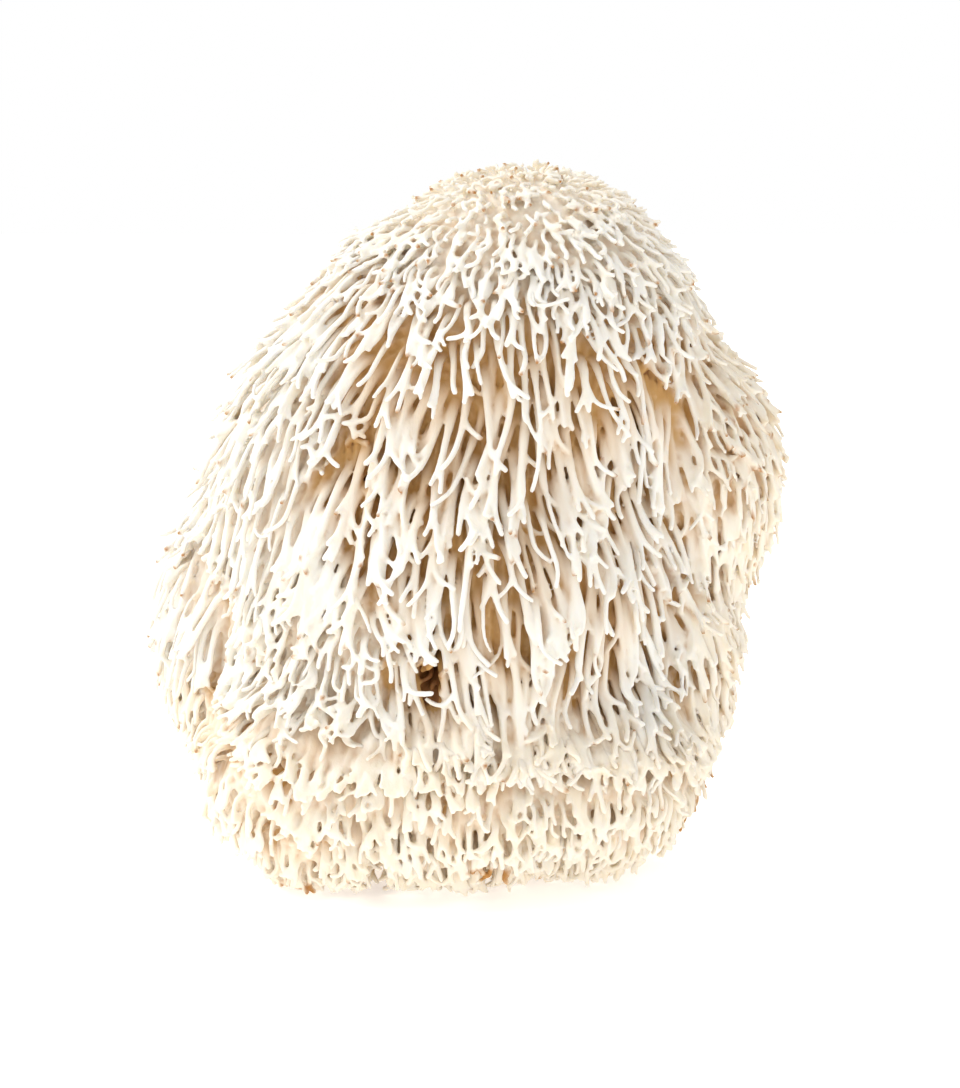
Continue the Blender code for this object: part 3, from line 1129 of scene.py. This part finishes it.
@dataclass(frozen=True)
class FreshMushroomFlesh:
    """Fresh lion's mane: soft, moist, matt flesh, grown and not worked in any way.

    Light goes a few millimetres into it, so it glows at thin tips and warms the gaps; the gaps are
    also painted tan, and brown where deepest, as painted shade.
    """

    name: str = "fresh_mushroom_flesh"
    white: str = "F8F4EB"
    cream: str = "FAECD8"
    # painted shade in the gaps: tan, and brown in the deepest
    painted_shade_tan: str = "C69B5F"
    painted_shade_brown: str = "85572D"
    speck: str = "A8733A"
    stain: str = "B4803F"
    painted_tan_range: tuple[float, float] = (0.0, 0.9)  # of the painted shade value, where tan comes and where it is full
    painted_brown_range: tuple[float, float] = (0.95, 1.5)
    mottle_size: float = 7 * MM  # about three spines wide: a patch is whiter or creamier
    mottle_range: tuple[float, float] = (0.3, 0.7)
    mottle_shift: float = 0.25  # from white to cream, either way
    blotch_size: float = 2.5 * MM  # a spine wide: the edges of stains are ragged
    stain_range: tuple[float, float] = (0.75, 1.25)  # of stain and blotch together
    patch_detail: float = 3.0
    fibre_size: float = 0.45 * MM  # real fibres are finer, but would not show
    fibre_run: float = 0.3  # fibres run down, so the pattern is this much slower that way
    fibre_detail: float = 2.0
    fibre_height: float = 0.13 * MM
    fibre_strength: float = 0.6
    roughness: float = 0.52  # moist, so a broad soft sheen, without wet highlights
    specular: float = 0.32
    glow: float = 0.42
    glow_depth: float = 1.9 * MM  # as thick as a spine, so that thin tips glow
    glow_colour: tuple[float, float, float] = (1.0, 0.87, 0.64)  # light comes out warm

    def make(self) -> bpy.types.Material:
        """The material.

        Returns:
            A material that reads the point values for cream, painted shade, stain and speck.
        """
        material = bpy.data.materials.new(self.name)
        material.use_nodes = True
        tree = material.node_tree
        tree.nodes.clear()
        place = add_node(tree, "ShaderNodeTexCoord").outputs["Object"]
        stored = {
            name: add_node(tree, "ShaderNodeAttribute", {"attribute_name": name}).outputs["Fac"]
            for name in ("cream", "painted_gap_shade", "stain", "speck")
        }
        run = add_node(
            tree, "ShaderNodeMapping", {}, {"Vector": place, "Scale": (1.0, 1.0, self.fibre_run)}
        ).outputs["Vector"]
        patterns = (
            (place, self.mottle_size, self.patch_detail),
            (place, self.blotch_size, self.patch_detail),
            (run, self.fibre_size, self.fibre_detail),
        )
        mottle, blotch, fibre = (
            add_node(
                tree, "ShaderNodeTexNoise", {}, {"Vector": where, "Scale": 1 / size, "Detail": detail}
            ).outputs["Fac"]
            for where, size, detail in patterns
        )
        low, high = self.mottle_range
        shift = add_node(
            tree,
            "ShaderNodeMapRange",
            {},
            {
                "Value": mottle,
                "From Min": low,
                "From Max": high,
                "To Min": -self.mottle_shift,
                "To Max": self.mottle_shift,
            },
        ).outputs["Result"]
        creamy = add_node(
            tree,
            "ShaderNodeMath",
            {"operation": "ADD", "use_clamp": True},
            {0: stored["cream"], 1: shift},
        ).outputs[0]
        edge = add_node(
            tree, "ShaderNodeMath", {"operation": "ADD"}, {0: stored["stain"], 1: blotch}
        ).outputs[0]
        ranges = (
            (stored["painted_gap_shade"], self.painted_tan_range),
            (stored["painted_gap_shade"], self.painted_brown_range),
            (edge, self.stain_range),
        )
        tan, brown, stained = (
            add_node(
                tree,
                "ShaderNodeMapRange",
                {"interpolation_type": "SMOOTHSTEP"},
                {"Value": value, "From Min": low, "From Max": high},
            ).outputs["Result"]
            for value, (low, high) in ranges
        )
        # tan and brown are painted shade in the gaps; cream, stain and speck are the flesh's own
        # colours
        coats = (
            (creamy, self.cream),
            (tan, self.painted_shade_tan),
            (brown, self.painted_shade_brown),
            (stained, self.stain),
            (stored["speck"], self.speck),
        )
        # In the mix, sockets 0, 6 and 7 are the share and the two colours, and output 2 the result.
        colour = linear(self.white)
        for share, code in coats:
            mix = add_node(
                tree, "ShaderNodeMix", {"data_type": "RGBA"}, {0: share, 6: colour, 7: linear(code)}
            )
            colour = mix.outputs[2]
        bump = add_node(
            tree,
            "ShaderNodeBump",
            {},
            {"Height": fibre, "Distance": self.fibre_height, "Strength": self.fibre_strength},
        ).outputs["Normal"]
        surface = add_node(
            tree,
            "ShaderNodeBsdfPrincipled",
            {"subsurface_method": "RANDOM_WALK"},
            {
                "Base Color": colour,
                "Roughness": self.roughness,
                "Specular IOR Level": self.specular,
                "Subsurface Weight": self.glow,
                "Subsurface Radius": self.glow_colour,
                "Subsurface Scale": self.glow_depth,
                "Normal": bump,
            },
        )
        add_node(tree, "ShaderNodeOutputMaterial", {}, {"Surface": surface.outputs["BSDF"]})
        return material


@dataclass(frozen=True)
class Flesh:
    """The flesh under the spines, whole."""

    places: Points
    surface: Points  # where the same rays leave the outline
    triangles: NDArray[np.int32]


@dataclass
class Mane:
    """All the spines with the flesh they grow from, piece by piece."""

    growth: Growth
    finish: bpy.types.Material
    seed: int = 5
    speck_radius: float = 0.48 * MM
    speck_edge: tuple[float, float] = (0.6, 1.6)  # it fades out between these, in radii
    subdivisions: int = 7
    tuck: float = 0.8 * MM  # how far flesh lies under its neighbour's at their shared edge
    tuck_width: float = 2.0 * MM
    edge_from: float = 3.0 * MM  # outside its region, flesh narrows to its core from here
    edge_to: float = 9.0 * MM
    core_share: float = 0.6  # of the whole flesh
    smooth_rounds: int = 2
    skinner: Skinner = field(default_factory=Skinner)

    def build(self) -> list[bpy.types.Object]:
        """Builds every piece of the mane.

        Returns:
            The pieces, dressed and riding on the body.
        """
        chance = np.random.default_rng(self.seed)
        roots = RootPlanter(self.growth).plant(chance)
        grower = SpineGrower(self.growth)
        fingers = grower.fingers(roots, chance)
        fingers = fingers.with_more(grower.bridges(roots, fingers, chance))
        likely = roots.style["specks"][fingers.root]
        for stain in STAINS:
            likely = likely * (1.0 + stain.specks * stain.share(fingers.paths[:, -1]))
        specked = chance.uniform(0, 1, len(fingers.root)) < likely
        log.info("%d spines with %d fingers", len(roots), len(fingers.root))
        nearest = np.argmax([region.inside(roots.places) for region in REGIONS], axis=0)
        pieces = []
        flesh = self.flesh()
        for number, region in enumerate(REGIONS):
            of_piece = (nearest == number)[fingers.root]
            mine = fingers.some(of_piece)
            rough = self.with_flesh(self.skinner.tubes(region.name, mine), region, flesh)
            skin = self.skinner.skin(rough, region.grain, self.smooth_rounds, region.triangles)
            self.dress(skin, mine, specked[of_piece])
            pieces.append(show(region.name, skin, self.finish))
        return pieces

    def flesh(self) -> Flesh:
        """The flesh that all the spines grow from, with its flutes and grains.

        Returns:
            Its points, the outline's points over them, and its triangles.
        """
        mesh = bmesh.new()
        bmesh.ops.create_icosphere(mesh, subdivisions=self.subdivisions, radius=1.0)
        ball = bpy.data.meshes.new("ball")
        mesh.to_mesh(ball)
        mesh.free()
        corners = np.empty(len(ball.loops), np.int32)
        ball.loops.foreach_get("vertex_index", corners)
        ways = unit(points_of(ball))
        bpy.data.meshes.remove(ball)
        outline = self.growth.outline
        surface = outline.inside_points(ways, 0.0)
        depth = self.growth.styled(surface)["layer"] - self.growth.relief(surface)
        return Flesh(outline.inside_points(ways, depth), surface, corners.reshape(-1, 3))

    def with_flesh(self, tubes: bpy.types.Mesh, region: Region, flesh: Flesh) -> bpy.types.Mesh:
        """Adds the region's flesh to its tubes: a closed segment that narrows to a core inside.

        Args:
            tubes: The tubes, which are used up.
            region: The region.
            flesh: All the flesh.

        Returns:
            A mesh of closed shells.
        """
        middle = self.growth.outline.middle
        within = region.inside(flesh.surface)
        tucked = self.tuck * (1.0 - fade(within, -self.tuck_width, self.tuck_width))
        full = fade(within, -self.edge_to, -self.edge_from)
        share = self.core_share + (1.0 - self.core_share) * full
        offsets = flesh.places - middle
        share = share - tucked / np.linalg.norm(offsets, axis=1)
        segment = mesh_from_arrays(
            "segment", middle + offsets * share[:, None], np.empty((0, 4), int), flesh.triangles
        )
        mesh = bmesh.new()
        mesh.from_mesh(tubes)
        mesh.from_mesh(segment)
        rough = bpy.data.meshes.new("rough_" + region.name)
        mesh.to_mesh(rough)
        mesh.free()
        bpy.data.meshes.remove(tubes)
        bpy.data.meshes.remove(segment)
        return rough

    def dress(self, skin: bpy.types.Mesh, fingers: Fingers, specked: NDArray[np.bool_]) -> None:
        """Stores what the material reads: how creamy, how deep in a gap for the painted shade, and
        where specks are.

        Args:
            skin: The piece's mesh.
            fingers: The fingers it was made of.
            specked: Which of them have a speck on their tip.
        """
        points = points_of(skin)
        paint_cream_shade_and_stains(skin, points, self.growth)
        speck = np.zeros(len(points))
        for tip in fingers.paths[specked, -1]:
            distance = np.sqrt(((points - tip) ** 2).sum(axis=1))
            speck = np.maximum(speck, 1.0 - fade(distance / self.speck_radius, *self.speck_edge))
        paint(skin, "speck", speck)


@dataclass(frozen=True)
class PaintedShadeGauge:
    """Measures how deep in a gap a place is, which sets its painted shade: how deep it lies, and how
    far below what is around it.
    """

    depth_from: float = 2.8 * MM  # under the outline
    depth_full: float = 9.0 * MM
    groove_full: float = 1.1 * MM  # under what is around it
    groove_share: float = 0.35
    deepest: float = 1.5  # that depth alone can give
    rounds: int = 14  # of smoothing, which gives what is around a place

    def grooves(self, mesh: bpy.types.Mesh, points: Points) -> Values:
        """How far each point lies below the surface around it.

        Args:
            mesh: The mesh.
            points: Its points.

        Returns:
            A distance for each point, positive in a groove.
        """
        edges = np.empty(len(mesh.edges) * 2, np.int32)
        mesh.edges.foreach_get("vertices", edges)
        first, last = edges.reshape(-1, 2).T
        count = len(points)
        around = np.bincount(first, minlength=count) + np.bincount(last, minlength=count)
        smooth = points.copy()
        for _ in range(self.rounds):
            for axis in range(3):
                line = smooth[:, axis]
                total = np.bincount(first, line[last], count) + np.bincount(last, line[first], count)
                smooth[:, axis] = 0.5 * (line + total / np.maximum(around, 1))
        normals = np.empty(count * 3, np.float32)
        mesh.vertex_normals.foreach_get("vector", normals)
        return ((smooth - points) * normals.reshape(-1, 3)).sum(axis=1)

    def read(self, mesh: bpy.types.Mesh, points: Points, outline: Outline) -> Values:
        """How much painted shade each point gets.

        Args:
            mesh: The mesh.
            points: Its points.
            outline: The mushroom's outline.

        Returns:
            0 at the tips and 1 in a usual gap, and more in the deepest.
        """
        deep = (-outline.over(points) - self.depth_from) / (self.depth_full - self.depth_from)
        groove = fade(self.grooves(mesh, points), 0.0, self.groove_full)
        return np.clip(deep, 0.0, self.deepest) + self.groove_share * groove


CREVICE_PAINTED_SHADE = 2.0  # how many times more painted shade a fully dark crevice gets


def paint_cream_shade_and_stains(skin: bpy.types.Mesh, points: Points, growth: Growth) -> None:
    """Stores how creamy, how much painted shade and how stained each point is.

    Args:
        skin: The mesh.
        points: Its points.
        growth: Where the zones lie.
    """
    shares = growth.weights(points)
    paint(skin, "cream", shares @ np.array([STYLES[zone].cream for zone in Zone]))
    # painted shade: gaps and grooves are painted tan and brown, and more so in crevices
    shade = shares @ np.array([STYLES[zone].shade for zone in Zone])
    painted_gap_shade = shade * PaintedShadeGauge().read(skin, points, growth.outline)
    paint(skin, "painted_gap_shade", painted_gap_shade * (1.0 + CREVICE_PAINTED_SHADE * growth.painted_crevice_shade(points)))
    stain = np.zeros(len(points))
    for place in STAINS:
        stain = np.maximum(stain, place.brown * place.share(points))
    paint(skin, "stain", stain)


def show(name: str, mesh: bpy.types.Mesh, finish: bpy.types.Material) -> bpy.types.Object:
    """Puts a piece of the mushroom in the scene.

    Args:
        name: The piece's name.
        mesh: Its mesh.
        finish: Its material.

    Returns:
        The piece, riding on the body in place of the plain solid.
    """
    mesh.name = name
    mesh.materials.clear()
    mesh.materials.append(finish)
    piece = bpy.data.objects.new(name, mesh)
    bpy.context.scene.collection.objects.link(piece)
    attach(piece, BODY)
    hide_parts(NODE)
    log.info("%s: %d triangles", name, triangles_of(mesh))
    return piece


@dataclass
class CutFoot:
    """The short neck that was cut from the log, with its flat cut underneath."""

    growth: Growth
    finish: bpy.types.Material
    cut_half: tuple[float, float] = (23 * MM, 19 * MM)
    height: float = 20 * MM
    flare: float = 1.25
    sides: int = 48
    grain: float = 0.7 * MM
    triangles: int = 6000

    def build(self) -> bpy.types.Object:
        """Builds the foot.

        Returns:
            The piece.
        """
        mesh = bmesh.new()
        neck = bmesh.ops.create_cone(
            mesh,
            cap_ends=True,
            segments=self.sides,
            radius1=1.0,
            radius2=self.flare,
            depth=self.height,
        )["verts"]
        bmesh.ops.scale(mesh, verts=neck, vec=(*self.cut_half, 1.0))
        bmesh.ops.translate(mesh, verts=neck, vec=(0.0, 0.0, 0.5 * self.height))
        rough = bpy.data.meshes.new("rough_foot")
        mesh.to_mesh(rough)
        mesh.free()
        skin = Skinner().skin(rough, self.grain, 1, self.triangles)
        paint_cream_shade_and_stains(skin, points_of(skin), self.growth)
        return show("cut_foot", skin, self.finish)


@dataclass(frozen=True)
class MattWhitePaper:
    """Uncoated white backdrop paper, off the roll: no gloss, and so bright that shadows are faint."""

    name: str = "matt_white_paper"
    colour: str = "F4F3F1"
    roughness: float = 0.9
    glow: float = 0.60

    def make(self) -> bpy.types.Material:
        """The material.

        Returns:
            A plain material that shines a little by itself.
        """
        material = bpy.data.materials.new(self.name)
        material.use_nodes = True
        surface = material.node_tree.nodes["Principled BSDF"]
        surface.inputs["Base Color"].default_value = linear(self.colour)
        surface.inputs["Roughness"].default_value = self.roughness
        surface.inputs["Emission Color"].default_value = linear(self.colour)
        surface.inputs["Emission Strength"].default_value = self.glow
        return material


@dataclass(frozen=True)
class Studio:
    """A white floor, a white surround, soft light from the upper left, and the camera."""

    floor_half: float = 2.5
    surround: float = 0.75
    key_strength: float = 1.85
    key_spread: float = 45.0
    key_from: tuple[float, float, float] = (-0.90, -0.05, 1.0)
    lens: float = 100.0
    distance: float = 0.665
    elevation: float = 9.0
    target: tuple[float, float, float] = (2.6 * MM, 0.0, 70.2 * MM)

    def build(self) -> None:
        """Builds floor, surround, light and camera."""
        scene = bpy.context.scene
        scene.view_settings.view_transform = "Standard"
        self.floor()
        self.light(scene)
        self.camera(scene)

    def floor(self) -> None:
        """The floor, a wide white sheet under the mushroom."""
        mesh = bmesh.new()
        bmesh.ops.create_grid(mesh, x_segments=1, y_segments=1, size=self.floor_half)
        data = bpy.data.meshes.new("studio_floor")
        mesh.to_mesh(data)
        mesh.free()
        data.materials.append(MattWhitePaper().make())
        floor = bpy.data.objects.new("studio_floor", data)
        bpy.context.scene.collection.objects.link(floor)
        log.info("%s: %d triangles", floor.name, triangles_of(data))

    def light(self, scene: bpy.types.Scene) -> None:
        """The white surround and the soft key light.

        Args:
            scene: The scene.
        """
        world = bpy.data.worlds.new("studio_surround")
        world.use_nodes = True
        tree = world.node_tree
        tree.nodes.clear()
        camera_ray = add_node(tree, "ShaderNodeLightPath").outputs["Is Camera Ray"]
        strength = add_node(
            tree,
            "ShaderNodeMapRange",
            {},
            {"Value": camera_ray, "To Min": self.surround, "To Max": 1.0},
        ).outputs["Result"]
        glow = add_node(
            tree, "ShaderNodeBackground", {}, {"Color": (1.0, 1.0, 1.0, 1.0), "Strength": strength}
        )
        add_node(tree, "ShaderNodeOutputWorld", {}, {"Surface": glow.outputs["Background"]})
        scene.world = world
        key = bpy.data.lights.new("key_light", "SUN")
        key.energy = self.key_strength
        key.angle = math.radians(self.key_spread)
        holder = bpy.data.objects.new("key_light", key)
        holder.rotation_euler = Vector(self.key_from).to_track_quat("Z", "Y").to_euler()
        scene.collection.objects.link(holder)

    def camera(self, scene: bpy.types.Scene) -> None:
        """The camera, at the photograph's height and distance.

        Args:
            scene: The scene.
        """
        tilt = math.radians(self.elevation)
        back = Vector((0.0, -math.cos(tilt), math.sin(tilt)))
        data = bpy.data.cameras.new("camera")
        data.lens = self.lens
        camera = bpy.data.objects.new("camera", data)
        camera.location = Vector(self.target) + back * self.distance
        camera.rotation_euler = back.to_track_quat("Z", "Y").to_euler()
        scene.collection.objects.link(camera)
        scene.camera = camera


def main() -> None:
    """Builds the mushroom and its studio."""
    line = "%(relativeCreated)d %(name)s: %(message)s"
    logging.basicConfig(level=logging.INFO, format=line, stream=sys.stdout)
    growth = Growth(Outline())
    finish = FreshMushroomFlesh().make()
    CutFoot(growth, finish).build()
    Mane(growth, finish).build()
    Studio().build()


if __name__ == "__main__":
    main()
